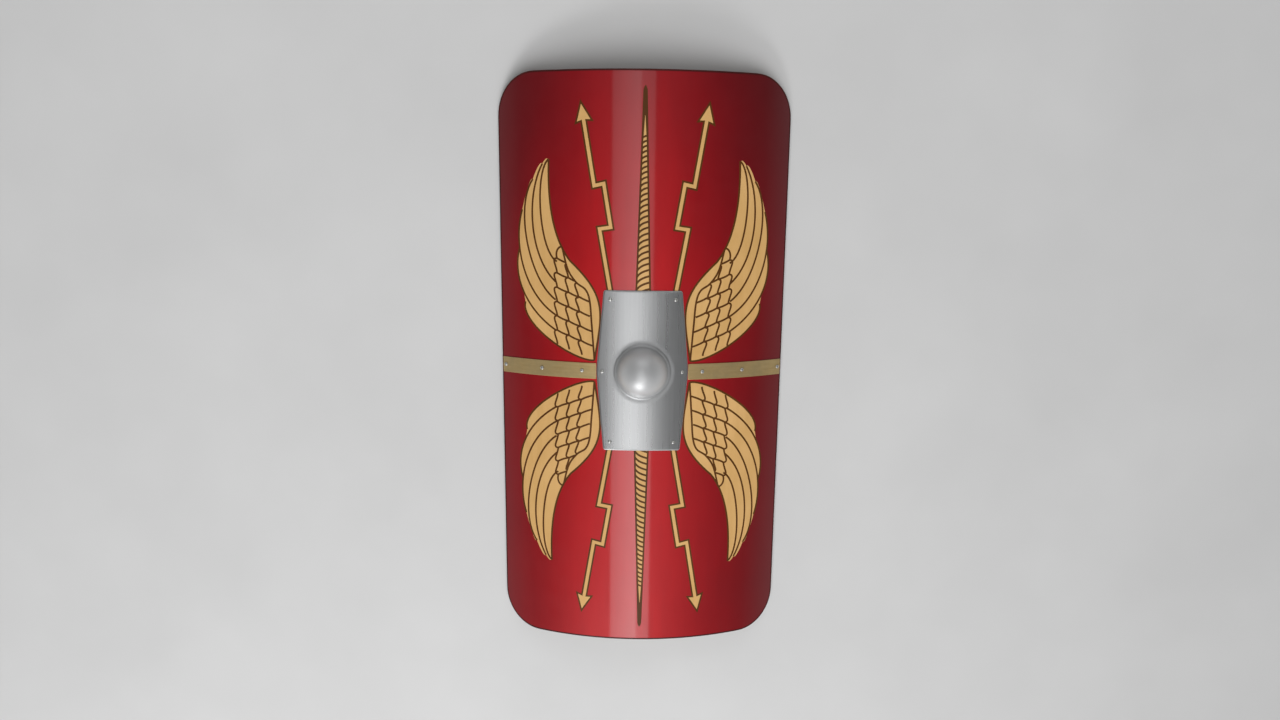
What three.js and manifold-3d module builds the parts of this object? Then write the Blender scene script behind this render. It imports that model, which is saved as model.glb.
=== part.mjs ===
// A curved rectangular infantry shield that lies on its two long edges with its painted face up.
// Millimetres. X runs across the shield, Y towards its top edge and Z up, out of the painted face.
// The board is part of a tube whose axis runs along Y, and every piece on it follows that curve.
import * as THREE from "three";
import { mergeVertices } from "three/addons/utils/BufferGeometryUtils.js";
import Module from "manifold-3d";

const wasm = await Module();
wasm.setup();

// Board of laminated wood
const boardHeight = 1050;
const boardArcWidth = 550; // measured round the curve of the painted face
const faceRadius = 525;
const boardThickness = 8;
const boardCornerRadius = 75;
const handHoleDiameter = 97;

// Boss plate with its dome, raised from one steel sheet
const plateHeight = 295;
const plateEndWidth = 141;
const plateWaistWidth = 166;
const plateSheet = 1.5;
const plateCornerRadius = 4;
const plateWaistFlat = 14; // straight length of the softened corner at the waist
const domeBaseDiameter = 94;
const domeHeight = 46;
const domeFilletRadius = 6;

// Brass bands from the plate's waist to the board's long edges
const bandWidth = 29;
const bandThickness = 1.2;
const bandPlateGap = 0.5;
const bandEdgeMargin = 3;

// Wooden grip across the back, thicker and round where the hand holds it
const gripArcLength = 430;
const gripBarWidth = 30;
const gripBarThickness = 12;
const gripEndThickness = 7;
const gripEndTaper = 26; // length of the slope at each end of the bar
const gripCornerRadius = 2.5;
const handleWidth = 27;
const handleThickness = 21;
const handleHalfLength = 33;
const handleBlend = 11; // length over which the bar swells into the handle

// Rivets
const shankDiameter = 3.6;
const headDiameter = 7;
const headHeight = 2.1;
const tailDiameter = 6.4;
const tailHeight = 1.6;
const rivetHoleClearance = 0.25;
const cornerRivetEndInset = 16;
const cornerRivetSideInset = 13.5;
const waistRivetInset = 10.3;
const bandRivetInnerInset = 26.5;
const bandRivetOuterInset = 6.7;

// Spaces and facets
const touchGap = 0.3; // between pieces that touch
const facetAngle = THREE.MathUtils.degToRad(2.5);
const boardCornerSteps = 8;
const plateCornerSteps = 3;
const plateEdgeStep = 25;
const plateRingsOutside = 3; // rings of facets between the dome's foot and the plate's edge
const domeSteps = 6;
const filletSteps = 3;
const gripCornerSteps = 2;
const handleBlendSteps = 3;
const rivetSides = 12;
const rivetDomeSteps = 3;
const handHoleSides = 40;
const overcut = 5; // how far a cutting tool runs past what it cuts

// Worked out from the sizes above
const backRadius = faceRadius - boardThickness;
const plateFaceRadius = faceRadius + touchGap + plateSheet;
const bandFaceRadius = faceRadius + touchGap + bandThickness;
const gripFrontRadius = backRadius - touchGap;
const gripBackRadius = gripFrontRadius - gripBarThickness;
const halfAngle = boardArcWidth / 2 / faceRadius;
const axisDepth = backRadius * Math.cos(halfAngle); // the curve's axis is this far below the ground
const facetArc = faceRadius * facetAngle;
const bandInnerArc = plateWaistWidth / 2 + bandPlateGap;
const bandOuterArc = boardArcWidth / 2 - bandEdgeMargin;

// A point given round the face's curve, along the shield, and out from the curve's axis
function onCurve(arc, along, radius) {
  const angle = arc / faceRadius;
  return new THREE.Vector3(radius * Math.sin(angle), along, radius * Math.cos(angle) - axisDepth);
}

// Evenly spaced numbers from start to end, both included
function spread(start, end, steps) {
  return Array.from({ length: steps + 1 }, (unused, step) => start + ((end - start) * step) / steps);
}

// Arcs of the common facet lines between two arcs, with both ends
function facetLines(start, end) {
  const lines = [start];
  for (let line = Math.floor(start / facetArc) + 1; line * facetArc < end; line++) {
    if (line * facetArc - start > facetArc / 4 && end - line * facetArc > facetArc / 4) {
      lines.push(line * facetArc);
    }
  }
  return [...lines, end];
}

// A closed skin over rings of points, ended by a tip or by the middle of the last ring
function loft(rings, firstTip, lastTip) {
  const count = rings[0].length;
  const middle = (ring) => ring.reduce((sum, point) => sum.add(point), new THREE.Vector3()).divideScalar(count);
  const points = [...rings.flat(), firstTip ?? middle(rings[0]), lastTip ?? middle(rings.at(-1))];
  const first = rings.length * count;
  const last = first - count;
  const triangles = [];
  for (let side = 0; side < count; side++) {
    const next = (side + 1) % count;
    for (let ring = 0; ring < last; ring += count) {
      triangles.push(ring + side, ring + next, ring + count + next);
      triangles.push(ring + side, ring + count + next, ring + count + side);
    }
    triangles.push(first, next, side, first + 1, last + side, last + next);
  }
  const geometry = new THREE.BufferGeometry().setFromPoints(points);
  return geometry.setIndex(triangles);
}

// Signed volume times six, which is negative when the faces point inwards
function facing(positions, triangles) {
  const corner = (index) => new THREE.Vector3().fromArray(positions, triangles[index] * 3);
  let sum = 0;
  for (let index = 0; index < triangles.length; index += 3) {
    sum += corner(index).dot(corner(index + 1).cross(corner(index + 2)));
  }
  return sum;
}

// A solid for cutting, from a closed geometry
function solidOf(geometry) {
  const bare = geometry.clone();
  bare.deleteAttribute("normal");
  bare.deleteAttribute("uv");
  const merged = mergeVertices(bare);
  const vertProperties = merged.attributes.position.array;
  const triangles = merged.index.array;
  const triVerts = new Uint32Array(triangles);
  if (facing(vertProperties, triangles) < 0) triVerts.reverse();
  return new wasm.Manifold(new wasm.Mesh({ numProp: 3, vertProperties, triVerts }));
}

// A geometry from a solid that has been cut
function geometryOf(solid) {
  const { vertProperties, triVerts } = solid.getMesh();
  const geometry = new THREE.BufferGeometry();
  geometry.setAttribute("position", new THREE.BufferAttribute(new Float32Array(vertProperties), 3));
  geometry.setIndex(Array.from(triVerts));
  return geometry;
}

// Turns something that points along Z so that it points straight out of the curve at an arc
function standOnCurve(geometry, arc, along) {
  geometry.rotateY(arc / faceRadius);
  const axis = onCurve(0, along, 0);
  return geometry.translate(axis.x, axis.y, axis.z);
}

// A round cutting tool that passes straight through the curve, with flats outside the given radius
function drill(arc, along, diameter, fromRadius, toRadius, sides) {
  const radius = diameter / 2 / Math.cos(Math.PI / sides);
  const length = toRadius - fromRadius + overcut * 2;
  const tool = new THREE.CylinderGeometry(radius, radius, length, sides).rotateX(Math.PI / 2);
  tool.translate(0, 0, (fromRadius + toRadius) / 2);
  return solidOf(standOnCurve(tool, arc, along));
}

// A sheet or board that follows the curve. halfSpan gives its half length along Y at each arc.
function rolledSheet(arcs, halfSpan, innerRadius, outerRadius) {
  return loft(arcs.map((arc) => [
    onCurve(arc, -halfSpan(arc), innerRadius),
    onCurve(arc, halfSpan(arc), innerRadius),
    onCurve(arc, halfSpan(arc), outerRadius),
    onCurve(arc, -halfSpan(arc), outerRadius),
  ]));
}

// Rivets: where each one stands, what its head sits on and what its tail is closed on
function cornerRivetArc() {
  const slope = (plateWaistWidth - plateEndWidth) / (plateHeight - plateWaistFlat);
  return plateEndWidth / 2 + slope * cornerRivetEndInset - cornerRivetSideInset;
}

function rivetPlaces() {
  const places = [];
  const cornerAlong = plateHeight / 2 - cornerRivetEndInset;
  const bandArcs = spread(bandInnerArc + bandRivetInnerInset, bandOuterArc - bandRivetOuterInset, 2);
  const backs = [gripBackRadius, gripBackRadius, backRadius];
  for (const [side, way] of [["left", -1], ["right", 1]]) {
    for (const [end, up] of [["upper", 1], ["lower", -1]]) {
      const place = { arc: way * cornerRivetArc(), along: up * cornerAlong };
      places.push({ name: `plate_rivet_${end}_${side}`, ...place, front: plateFaceRadius, back: backRadius });
    }
    const waist = { arc: way * (plateWaistWidth / 2 - waistRivetInset), along: 0 };
    places.push({ name: `plate_rivet_waist_${side}`, ...waist, front: plateFaceRadius, back: gripBackRadius });
    ["inner", "middle", "outer"].forEach((name, index) => {
      const place = { arc: way * bandArcs[index], along: 0 };
      places.push({ name: `band_rivet_${name}_${side}`, ...place, front: bandFaceRadius, back: backs[index] });
    });
  }
  return places;
}

const rivets = rivetPlaces();

// Cuts a hole for each rivet that passes through a layer of the shield
function rivetHoles(solid, innerRadius, outerRadius, passes) {
  const diameter = shankDiameter + rivetHoleClearance * 2;
  return rivets.filter(passes).reduce((cut, rivet) => {
    return cut.subtract(drill(rivet.arc, rivet.along, diameter, innerRadius, outerRadius, rivetSides));
  }, solid);
}

function boardGeometry() {
  const halfArc = boardArcWidth / 2;
  const cornerArc = halfArc - boardCornerRadius;
  const turns = spread(0, Math.PI / 2, boardCornerSteps).slice(1);
  const corner = turns.map((turn) => cornerArc + boardCornerRadius * Math.sin(turn));
  const left = corner.map((arc) => -arc).reverse();
  const arcs = [...left, ...facetLines(-cornerArc, cornerArc), ...corner];
  const halfSpan = (arc) => {
    const past = Math.max(0, Math.abs(arc) - cornerArc);
    const drop = Math.sqrt(Math.max(0, boardCornerRadius ** 2 - past ** 2));
    return boardHeight / 2 - boardCornerRadius + drop;
  };
  const board = solidOf(rolledSheet(arcs, halfSpan, backRadius, faceRadius));
  const holed = board.subtract(drill(0, 0, handHoleDiameter, backRadius, faceRadius, handHoleSides));
  return geometryOf(rivetHoles(holed, backRadius, faceRadius, () => true));
}

// The dome's half section from its crown to the foot of its fillet, a given depth inside the outer skin
function domeProfile(depth) {
  const sphere = ((domeBaseDiameter / 2) ** 2 + domeHeight ** 2) / (2 * domeHeight);
  const centreUp = domeHeight - sphere;
  const filletOut = Math.sqrt((sphere + domeFilletRadius) ** 2 - (domeFilletRadius - centreUp) ** 2);
  const meeting = Math.atan2(filletOut, domeFilletRadius - centreUp);
  const round = spread(0, meeting, domeSteps).map((turn) => ({
    out: (sphere - depth) * Math.sin(turn),
    up: centreUp + (sphere - depth) * Math.cos(turn),
  }));
  const fillet = spread(meeting, 0, filletSteps).slice(1).map((turn) => ({
    out: filletOut - (domeFilletRadius + depth) * Math.sin(turn),
    up: domeFilletRadius - (domeFilletRadius + depth) * Math.cos(turn),
  }));
  return [...round, ...fillet];
}

// The plate's outline, counted round from its right waist, with the curve's width as X
function plateOutline() {
  const end = new THREE.Vector2(plateEndWidth / 2, plateHeight / 2);
  const waist = new THREE.Vector2(plateWaistWidth / 2, plateWaistFlat / 2);
  const side = end.clone().sub(waist);
  const turnBy = Math.atan2(-side.x, side.y);
  const reach = plateCornerRadius * Math.tan((Math.PI / 2 - turnBy) / 2);
  const sideEnd = end.clone().sub(side.clone().setLength(reach));
  const centre = new THREE.Vector2(end.x - reach, end.y - plateCornerRadius);
  const sides = Math.ceil(side.length() / plateEdgeStep);
  const along = spread(0, 1, sides).map((share) => waist.clone().lerp(sideEnd, share));
  const corner = spread(turnBy, Math.PI / 2, plateCornerSteps).slice(1).map((turn) => new THREE.Vector2(
    centre.x + plateCornerRadius * Math.cos(turn),
    centre.y + plateCornerRadius * Math.sin(turn),
  ));
  const top = facetLines(0, centre.x).slice(0, -1).reverse().map((x) => new THREE.Vector2(x, end.y));
  const quarter = [...along, ...corner, ...top];
  const half = [...quarter, ...quarter.slice(0, -1).reverse().map((at) => new THREE.Vector2(-at.x, at.y))];
  return [...half, ...half.map((at) => new THREE.Vector2(-at.x, -at.y))];
}

// The sheet is laid on the curve, and its dome stands on it with a level crown
function bossPlateGeometry() {
  const outline = plateOutline();
  const seat = (x, y, up) => {
    const point = onCurve(x, y, plateFaceRadius);
    const drop = onCurve(0, y, plateFaceRadius).z - point.z;
    point.z += up + drop * THREE.MathUtils.clamp(up / domeHeight, 0, 1);
    return point;
  };
  const skin = (depth) => {
    const profile = domeProfile(depth);
    const foot = profile.at(-1);
    const rings = profile.slice(1).map(({ out, up }) => outline.map((edge) => {
      const at = edge.clone().setLength(out);
      return seat(at.x, at.y, up);
    }));
    const flange = spread(0, 1, plateRingsOutside).slice(1).map((share) => outline.map((edge) => {
      const at = edge.clone().setLength(foot.out).lerp(edge, share);
      return seat(at.x, at.y, -depth);
    }));
    return { tip: seat(0, 0, profile[0].up), rings: [...rings, ...flange] };
  };
  const outer = skin(0);
  const inner = skin(plateSheet);
  const sheet = loft([...outer.rings, ...inner.rings.reverse()], outer.tip, inner.tip);
  const isPlateRivet = (rivet) => rivet.name.startsWith("plate");
  return geometryOf(rivetHoles(solidOf(sheet), faceRadius, plateFaceRadius, isPlateRivet));
}

function bandGeometry(way) {
  const arcs = facetLines(bandInnerArc, bandOuterArc).map((arc) => way * arc);
  const sheet = rolledSheet(arcs, () => bandWidth / 2, faceRadius + touchGap, bandFaceRadius);
  const isItsRivet = (rivet) => rivet.name.startsWith("band") && rivet.arc * way > 0;
  return geometryOf(rivetHoles(solidOf(sheet), faceRadius, bandFaceRadius, isItsRivet));
}

// A rounded rectangle across the grip: width along Y, thickness out from the curve's axis
function gripSection(arc, width, thickness, cornerRadius) {
  const corners = [[1, 1], [-1, 1], [-1, -1], [1, -1]];
  const middle = gripBackRadius + thickness / 2;
  return corners.flatMap(([way, out], index) => {
    const turns = spread(index * Math.PI / 2, (index + 1) * Math.PI / 2, gripCornerSteps);
    return turns.map((turn) => onCurve(
      arc,
      way * (width / 2 - cornerRadius) + cornerRadius * Math.cos(turn),
      middle + out * (thickness / 2 - cornerRadius) + cornerRadius * Math.sin(turn),
    ));
  });
}

// The bar, thinned from behind at its ends, and swelling forwards into the handle over the hand hole
function gripGeometry() {
  const half = gripArcLength / 2;
  const handleCorner = Math.min(handleWidth, handleThickness) / 2 - touchGap;
  const swell = (share) => {
    const eased = share * share * (3 - 2 * share);
    const width = THREE.MathUtils.lerp(gripBarWidth, handleWidth, eased);
    const thickness = THREE.MathUtils.lerp(gripBarThickness, handleThickness, eased);
    return { width, thickness, corner: THREE.MathUtils.lerp(gripCornerRadius, handleCorner, eased) };
  };
  const blend = spread(0, 1, handleBlendSteps);
  const barEnd = handleHalfLength + handleBlend;
  const bar = facetLines(barEnd, half - gripEndTaper).slice(1);
  const stations = [
    { arc: 0, ...swell(1) },
    ...blend.map((share) => ({ arc: handleHalfLength + handleBlend * share, ...swell(1 - share) })),
    ...bar.map((arc) => ({ arc, ...swell(0) })),
    { arc: half, ...swell(0), thickness: gripEndThickness },
  ];
  const mirrored = stations.slice(1).reverse().map((station) => ({ ...station, arc: -station.arc }));
  const rings = [...mirrored, ...stations].map(({ arc, width, thickness, corner }) => {
    const ring = gripSection(arc, width, thickness, corner);
    const atEnd = thickness === gripEndThickness;
    const shift = new THREE.Vector3(Math.sin(arc / faceRadius), 0, Math.cos(arc / faceRadius));
    shift.multiplyScalar(atEnd ? gripBarThickness - gripEndThickness : 0);
    return ring.map((point) => point.add(shift));
  });
  const isGripRivet = (rivet) => rivet.back === gripBackRadius;
  return geometryOf(rivetHoles(solidOf(loft(rings)), gripBackRadius, gripFrontRadius, isGripRivet));
}

// One rivet: a low round head, its shank, and the tail hammered over behind
function rivetGeometry({ arc, along, front, back }) {
  const headSeat = front + touchGap;
  const tailSeat = back - touchGap;
  const cap = (diameter, height, seat, way) => spread(0, Math.PI / 2, rivetDomeSteps).map((turn) => (
    new THREE.Vector2((diameter / 2) * Math.cos(turn), seat + way * height * Math.sin(turn))
  ));
  const tail = cap(tailDiameter, tailHeight, tailSeat, -1).reverse();
  const head = cap(headDiameter, headHeight, headSeat, 1);
  tail[0].x = 0;
  head.at(-1).x = 0;
  const shank = [new THREE.Vector2(shankDiameter / 2, tailSeat), new THREE.Vector2(shankDiameter / 2, headSeat)];
  const lathe = new THREE.LatheGeometry([...tail, ...shank, ...head], rivetSides).rotateX(Math.PI / 2);
  return geometryOf(solidOf(standOnCurve(lathe, arc, along)));
}

const paintedWood = new THREE.MeshStandardMaterial({ color: 0x8f1018, roughness: 0.35, metalness: 0 });
const steel = new THREE.MeshStandardMaterial({ color: 0xa9abad, roughness: 0.35, metalness: 0.9 });
const brass = new THREE.MeshStandardMaterial({ color: 0x9c8a58, roughness: 0.45, metalness: 0.8 });
const rivetSteel = new THREE.MeshStandardMaterial({ color: 0xc4c4c0, roughness: 0.4, metalness: 0.9 });
const wood = new THREE.MeshStandardMaterial({ color: 0x8a6238, roughness: 0.6, metalness: 0 });

const shield = new THREE.Group();

function addPiece(name, geometry, material) {
  const piece = new THREE.Mesh(geometry, material);
  piece.name = name;
  shield.add(piece);
}

addPiece("board", boardGeometry(), paintedWood);
addPiece("boss_plate", bossPlateGeometry(), steel);
addPiece("band_left", bandGeometry(-1), brass);
addPiece("band_right", bandGeometry(1), brass);
addPiece("grip", gripGeometry(), wood);
for (const rivet of rivets) addPiece(rivet.name, rivetGeometry(rivet), rivetSteel);

export default shield;
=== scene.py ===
# %% [markdown]
# # A painted and riveted curved shield
#
# This lesson dresses a measured model of a curved rectangular infantry shield. The model gives every
# size and place. Here the board gets its paint, the metal its brushed and hammered surfaces and the
# wood its grain. The shield lies face up on its two long edges, as it does when nobody holds it.

# %% Load the measured frame
import math

import bpy
from mathutils import Matrix, Vector
from mathutils.geometry import delaunay_2d_cdt


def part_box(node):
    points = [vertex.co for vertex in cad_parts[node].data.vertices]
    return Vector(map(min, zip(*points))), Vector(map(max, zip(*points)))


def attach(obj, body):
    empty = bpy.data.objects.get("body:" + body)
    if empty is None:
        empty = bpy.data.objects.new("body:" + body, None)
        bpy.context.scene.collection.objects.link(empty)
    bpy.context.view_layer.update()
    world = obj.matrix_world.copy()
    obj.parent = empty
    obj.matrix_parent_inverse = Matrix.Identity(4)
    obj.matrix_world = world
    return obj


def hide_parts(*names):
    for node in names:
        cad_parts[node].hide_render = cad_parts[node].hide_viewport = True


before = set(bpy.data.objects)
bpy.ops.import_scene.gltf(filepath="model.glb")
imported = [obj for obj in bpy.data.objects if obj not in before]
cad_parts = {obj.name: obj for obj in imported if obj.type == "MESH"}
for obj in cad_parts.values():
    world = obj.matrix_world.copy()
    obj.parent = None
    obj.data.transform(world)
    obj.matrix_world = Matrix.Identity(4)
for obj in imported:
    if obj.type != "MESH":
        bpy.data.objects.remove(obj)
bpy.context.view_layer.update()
print("measured nodes:", len(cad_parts))

# %% [markdown]
# ## Sizes of the real shield
#
# The board is thin wood glued up in a curve, so its face is part of a tube. A place on it is easiest to
# give as a flat drawing: so far round the curve, so far along the shield, and so far out from the tube's
# axis. All sizes are in millimetres, and one function turns such a place into a point in metres.

# %% Sizes and the way from the flat drawing to the curve
MM = 0.001
FACE_RADIUS = 525
BOARD_HEIGHT = 1050
BOARD_ARC = 550
BOARD_THICKNESS = 8
BOARD_CORNER = 75
HAND_HOLE = 97
TOUCH_GAP = 0.3
BACK_RADIUS = FACE_RADIUS - BOARD_THICKNESS
AXIS_DEPTH = BACK_RADIUS * math.cos(BOARD_ARC / 2 / FACE_RADIUS)


def on_curve(arc, along, radius):
    angle = arc / FACE_RADIUS
    flat = Vector((radius * math.sin(angle), along, radius * math.cos(angle) - AXIS_DEPTH))
    return flat * MM


def outwards(arc):
    return Vector((math.sin(arc / FACE_RADIUS), 0, math.cos(arc / FACE_RADIUS)))


def sideways(arc):
    return Vector((math.cos(arc / FACE_RADIUS), 0, -math.sin(arc / FACE_RADIUS)))


low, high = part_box("board")
corner_point = on_curve(BOARD_ARC / 2, BOARD_HEIGHT / 2, FACE_RADIUS)
print("board half width by formula and by frame:", round(corner_point.x, 4), round(high[0], 4))

# %% [markdown]
# ## The camera
#
# The picture looks almost straight at the painted face. Its top edge is a little nearer, so the board
# seems to narrow towards its foot, although it doesn't. The camera is set square to the middle of the
# face, moved back, and then tilted, turned, rolled and slid a little. These numbers were found by
# matching the board's corners, the rivets and the tips of the paint with where the picture has them.

# %% Place the camera
SENSOR = 36
FOCAL_SHARE = 850 / 1280
DISTANCE = 1.53734
TILT = math.radians(10.73)
TURN = math.radians(0.61)
ROLL = math.radians(0.66)
SLIDE = Vector((0.00403, -0.0219, 0))

camera_data = bpy.data.cameras.new("camera")
camera_data.sensor_width = SENSOR
camera_data.lens = SENSOR * FOCAL_SHARE
camera = bpy.data.objects.new("camera", camera_data)
bpy.context.scene.collection.objects.link(camera)
bpy.context.scene.camera = camera
face_middle = Matrix.Translation(on_curve(0, 0, FACE_RADIUS))
turned = Matrix.Rotation(-ROLL, 4, "Z") @ Matrix.Rotation(TILT, 4, "X") @ Matrix.Rotation(TURN, 4, "Y")
seen_from = Matrix.Translation(Vector((0, 0, DISTANCE)) - SLIDE)
camera.matrix_world = face_middle @ turned.inverted() @ seen_from
print("camera stands at", [round(value, 3) for value in camera.matrix_world.translation])

# %% [markdown]
# ## Outlines on the flat drawing
#
# A painter or a smith works with a few plain tools: a straight line, an arc and a free curve with two
# handles. These helpers are the same tools. Each one gives a list of points on the flat drawing.

# %% Drawing tools
# A corner sharper than this has its mitre cut short
MITRE_LIMIT = 0.3


def circle(across, along, radius, sides=48):
    turns = [2 * math.pi * side / sides for side in range(sides)]
    return [Vector((across + radius * math.cos(turn), along + radius * math.sin(turn))) for turn in turns]


def free_curve(start, first_handle, second_handle, end, steps=24):
    points = [Vector(point) for point in (start, first_handle, second_handle, end)]
    curve = []
    for step in range(steps + 1):
        share = step / steps
        weights = ((1 - share) ** 3, 3 * (1 - share) ** 2 * share, 3 * (1 - share) * share**2, share**3)
        curve.append(sum((point * weight for point, weight in zip(points, weights)), Vector((0, 0))))
    return curve


def smooth_line(stops, steps=8):
    """A curve that passes through every stop."""
    stops = [Vector(stop) for stop in stops]
    ends = [2 * stops[0] - stops[1], *stops, 2 * stops[-1] - stops[-2]]
    line = []
    for before, start, end, after in zip(ends, ends[1:], ends[2:], ends[3:]):
        piece = free_curve(start, start + (end - before) / 6, end - (after - start) / 6, end, steps)
        line.extend(piece[:-1])
    return [*line, stops[-1]]


def signed_area(loop):
    return sum(a.x * b.y - b.x * a.y for a, b in zip(loop, [*loop[1:], loop[0]])) / 2


def left_first(loop):
    return loop if signed_area(loop) > 0 else loop[::-1]


def grown(loop, by):
    """The loop moved outwards by an even distance."""
    loop = left_first(loop)
    moved = []
    for before, point, after in zip([loop[-1], *loop[:-1]], loop, [*loop[1:], loop[0]]):
        first = (point - before).normalized()
        second = (after - point).normalized()
        out = Vector((first.y + second.y, -first.x - second.x))
        moved.append(point + out * (by / max(MITRE_LIMIT, 1 + first.dot(second))))
    return moved


def brush(line, width):
    """The loop that a brush fills when it is drawn along a line."""
    left, right = [], []
    for index, point in enumerate(line):
        before = (point - line[max(0, index - 1)]).normalized()
        after = (line[min(len(line) - 1, index + 1)] - point).normalized()
        first, second = before or after, after or before
        out = Vector((first.y + second.y, -first.x - second.x)) / max(MITRE_LIMIT, 1 + first.dot(second))
        right.append(point + out * (width / 2))
        left.append(point - out * (width / 2))
    return right + left[::-1]


def rounded_board(half_across, half_along, corner, steps=14):
    """A rectangle with round corners, drawn one quarter after another."""
    loop = []
    for quarter, (way_across, way_along) in enumerate(((1, 1), (-1, 1), (-1, -1), (1, -1))):
        for step in range(steps + 1):
            turn = (quarter + step / steps) * math.pi / 2
            loop.append(Vector((
                way_across * (half_across - corner) + corner * math.cos(turn),
                way_along * (half_along - corner) + corner * math.sin(turn),
            )))
    return loop


board_outline = rounded_board(BOARD_ARC / 2, BOARD_HEIGHT / 2, BOARD_CORNER)
print("board outline points:", len(board_outline))

# %% [markdown]
# ## The wings
#
# Four wings spread from the boss. Each has a smooth leading edge, three columns of small overlapping
# feathers and six long flight feathers. They were painted flat: ochre first, then every edge drawn in
# brown with a fine brush. So each feather is a filled loop and each edge a brush line, painted in that
# order. Only one wing is drawn, and the other three mirror it.

# %% The wing's edges
WING_ROOT = (87.2, 19.6)
SHOULDER = (132.4, 197.9)
LINE_WIDTH = 3.5

leading_edge = [
    *free_curve(WING_ROOT, (73, 106), (62, 135), SHOULDER)[:-1],
    *free_curve(SHOULDER, (169.5, 243), (174.2, 315), (171.7, 375.1)),
]
trailing_edge = free_curve(WING_ROOT, (120.2, 14.1), (234.2, 80.5), (221.2, 120.9))

# Each flight feather's outer edge: where it starts, its tip, the leans there in degrees, and the reach
# of its two handles as a share of its length
FLIGHT_FEATHERS = (
    ((157.2, 196.0), (173.0, 374.0), 25, 137, 0.21),
    ((159.6, 159.4), (183.9, 367.0), 40, 121, 0.32),
    ((160.2, 127.0), (203.1, 340.3), 34, 128, 0.29),
    ((158.0, 98.2), (225.4, 287.1), 29, 109, 0.35),
    ((160.0, 71.5), (233.0, 216.1), 31, 106, 0.37),
)

# A feather's round end: how far it stands out, that as a share of the feather's width at most, and how
# much its first handle is lifted and leans back
END_STAND = 4
END_SHARE = 0.25
END_LIFT = 1.6
END_LEAN = 0.08


def feather_edge(root, tip, lean_out, lean_in, reach):
    root, tip = Vector(root), Vector(tip)
    length = (tip - root).length * reach
    way_out = Vector((math.cos(math.radians(lean_out)), math.sin(math.radians(lean_out))))
    way_in = Vector((math.cos(math.radians(lean_in)), math.sin(math.radians(lean_in))))
    return free_curve(root, root + way_out * length, tip - way_in * length, tip)


def feather_end(inner_tip, outer_tip):
    """The round end of a feather, which stands out a little past the line from tip to tip."""
    chord = outer_tip - inner_tip
    out = Vector((-chord.y, chord.x)).normalized()
    out = out if out.dot(inner_tip - Vector(WING_ROOT)) > 0 else -out
    stand = min(END_STAND, chord.length * END_SHARE)
    first_handle = inner_tip + out * stand * END_LIFT - chord * END_LEAN
    second_handle = inner_tip.lerp(outer_tip, 0.5) + out * stand
    return free_curve(inner_tip, first_handle, second_handle, outer_tip, 10)


outer_edges = [feather_edge(*feather) for feather in FLIGHT_FEATHERS]
print("outer edges of flight feathers:", len(outer_edges) + 1)

# %% [markdown]
# Between the leading edge's plain border and the flight feathers lie the small feathers. Their rows
# climb outwards, and each one ends in a round shoulder on its outer side, so they look like scales.

# %% The small feathers
COLUMNS = (111.5, 134.5, 157)
COLUMN_LEAN = (0.06, 0.01, 0)
ROW_START = 46.5
ROW_PITCH = 26
ROW_RISE = 0.38
ROW_ORIGIN = 90
LAST_ROW = 5
BULGE = 12
SIDE_LEAN = 1
FOOT_SAG = 1.6
TOP_SCALE = (147.3, 222.3)
TOP_HANDLES = ((161, 213), (154, 224))
BORDER_STOPS = (
    WING_ROOT, (89.6, 50), (92.4, 86), (95.8, 126), (103.5, 147), (121, 160), (136.6, 182.8), TOP_SCALE
)
FIELD_INNER = 86
FIELD_CORNERS = ((172, 215), (172, 54))
TRAILING_PART = 14

border_line = smooth_line(BORDER_STOPS)
feather_field = [
    *border_line,
    *(Vector(corner) for corner in FIELD_CORNERS),
    *trailing_edge[TRAILING_PART::-1],
]


def row_height(row, across):
    return ROW_START + ROW_PITCH * row + ROW_RISE * (across - ROW_ORIGIN)


def column_across(column, along):
    return COLUMNS[column] + COLUMN_LEAN[column] * (along - ROW_START)


def is_within(point, loop):
    within = False
    for a, b in zip(loop, [*loop[1:], loop[0]]):
        if (a.y > point.y) != (b.y > point.y):
            within ^= point.x < a.x + (point.y - a.y) / (b.y - a.y) * (b.x - a.x)
    return within


def kept_within(line, loop):
    """The parts of a line that lie within a loop."""
    parts, part = [], []
    for point in line:
        if is_within(point, loop):
            part.append(point)
        elif part:
            parts.append(part)
            part = []
    return [part for part in [*parts, part] if len(part) > 1]


def scale_side(column, row):
    low, high = row_height(row, COLUMNS[column]), row_height(row + 1, COLUMNS[column])
    start, end = column_across(column, low), column_across(column, high)
    first_handle = (start + SIDE_LEAN, (low + high) / 2)
    return free_curve((start, low), first_handle, (end + BULGE, high), (end, high), 14)


def scale_foot(column, row):
    across = column_across(column, row_height(row, COLUMNS[column]))
    inner = COLUMNS[column - 1] if column else FIELD_INNER
    start, end = Vector((across, row_height(row, across))), Vector((inner, row_height(row, inner)))
    sag = Vector((0, -FOOT_SAG))
    return free_curve(start, start.lerp(end, 0.3) + sag, start.lerp(end, 0.7) + sag, end, 12)


small_feather_lines = []
for column in range(len(COLUMNS)):
    # The last feather of the outermost column gets its side after the loop, drawn up to TOP_SCALE
    for row in range(-1, LAST_ROW + 1):
        if row >= 0:
            small_feather_lines.extend(kept_within(scale_foot(column, row), feather_field))
        if column < 2 or row < LAST_ROW:
            small_feather_lines.extend(kept_within(scale_side(column, row), feather_field))
top_start = (COLUMNS[2], row_height(LAST_ROW, COLUMNS[2]))
small_feather_lines.append(free_curve(top_start, *TOP_HANDLES, TOP_SCALE, 10))
print("small feather lines in one wing:", len(small_feather_lines))

# %% [markdown]
# ## The lightning and the twisted shaft
#
# Between each wing and the middle a bolt of lightning flies outwards: a zigzag with two sharp steps and
# an arrowhead. It is a straight-sided brush line in ochre with a thin brown outline. The outline is made
# as a sign painter makes it: the same shape a little larger, painted first.

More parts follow.
